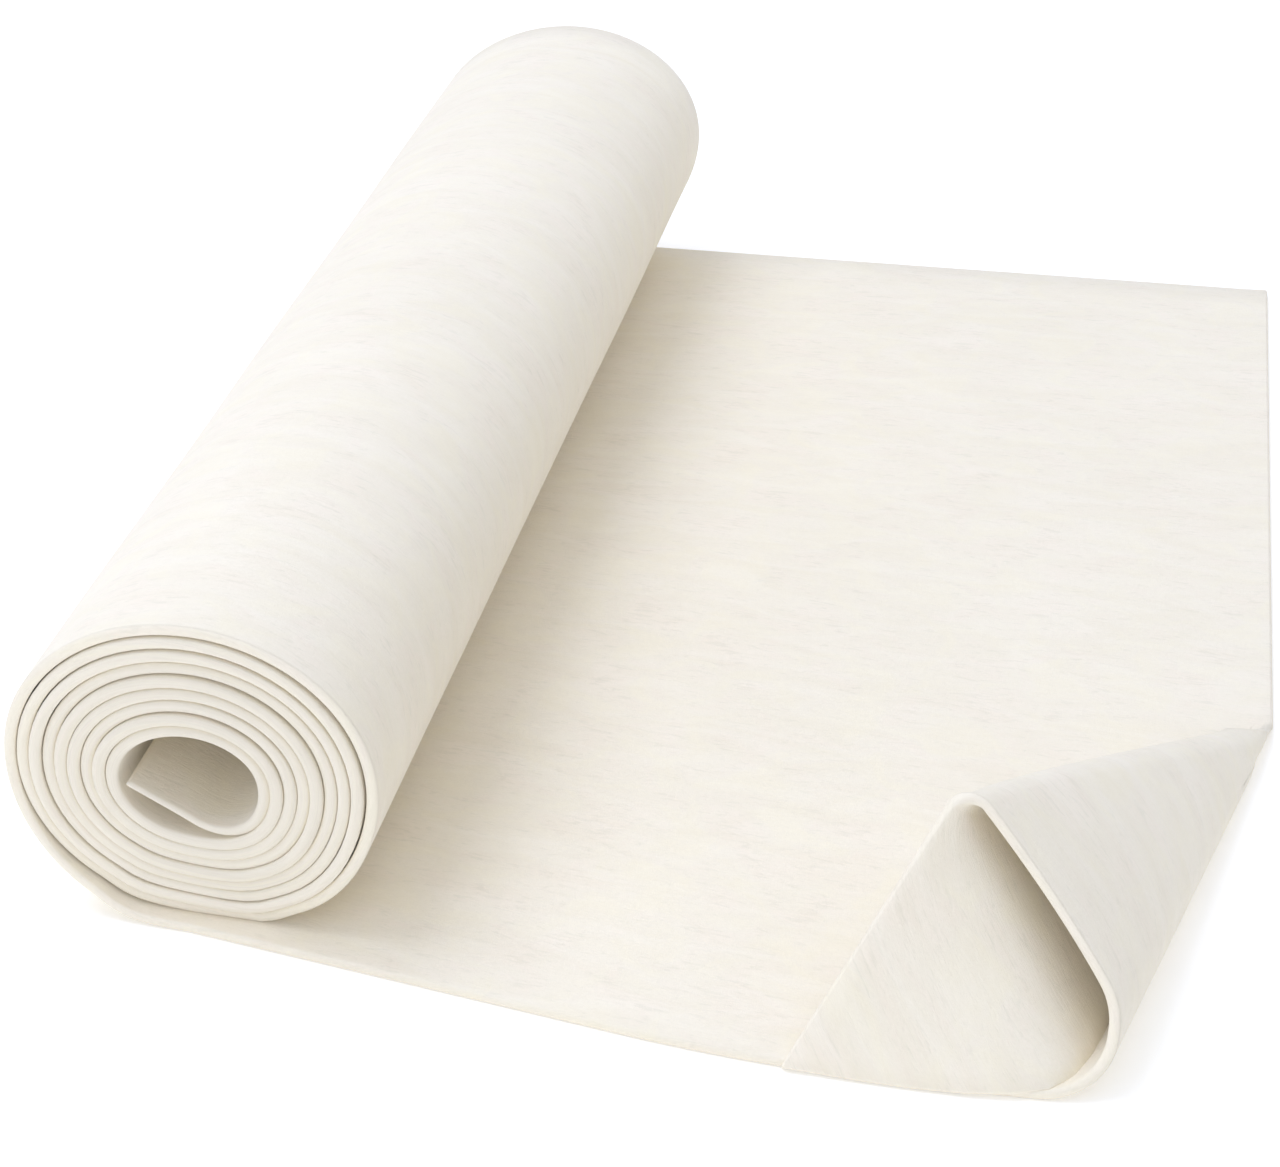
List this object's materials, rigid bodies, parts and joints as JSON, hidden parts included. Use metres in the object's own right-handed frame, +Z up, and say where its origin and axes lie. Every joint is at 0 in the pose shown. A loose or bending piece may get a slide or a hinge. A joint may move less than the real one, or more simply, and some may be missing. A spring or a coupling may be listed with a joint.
{
  "type": "felt roll",
  "caption": "Roll of thick white felt wound in a soft spiral, partly unrolled into a flat sheet with one corner curled up and over",
  "frame": {"origin": "centre of the bounding box in plan, on the surface that the felt lies on", "axes": "+Y runs along the roll away from the curled corner, +X runs from the roll toward the sheet's free end, +Z is up"},
  "size_m": [0.3656, 0.4718, 0.1038],
  "materials": {
    "felt": "matte fibrous, soft white"
  },
  "bodies": {
    "root": {"felt": "felt"}
  },
  "joints": []
}
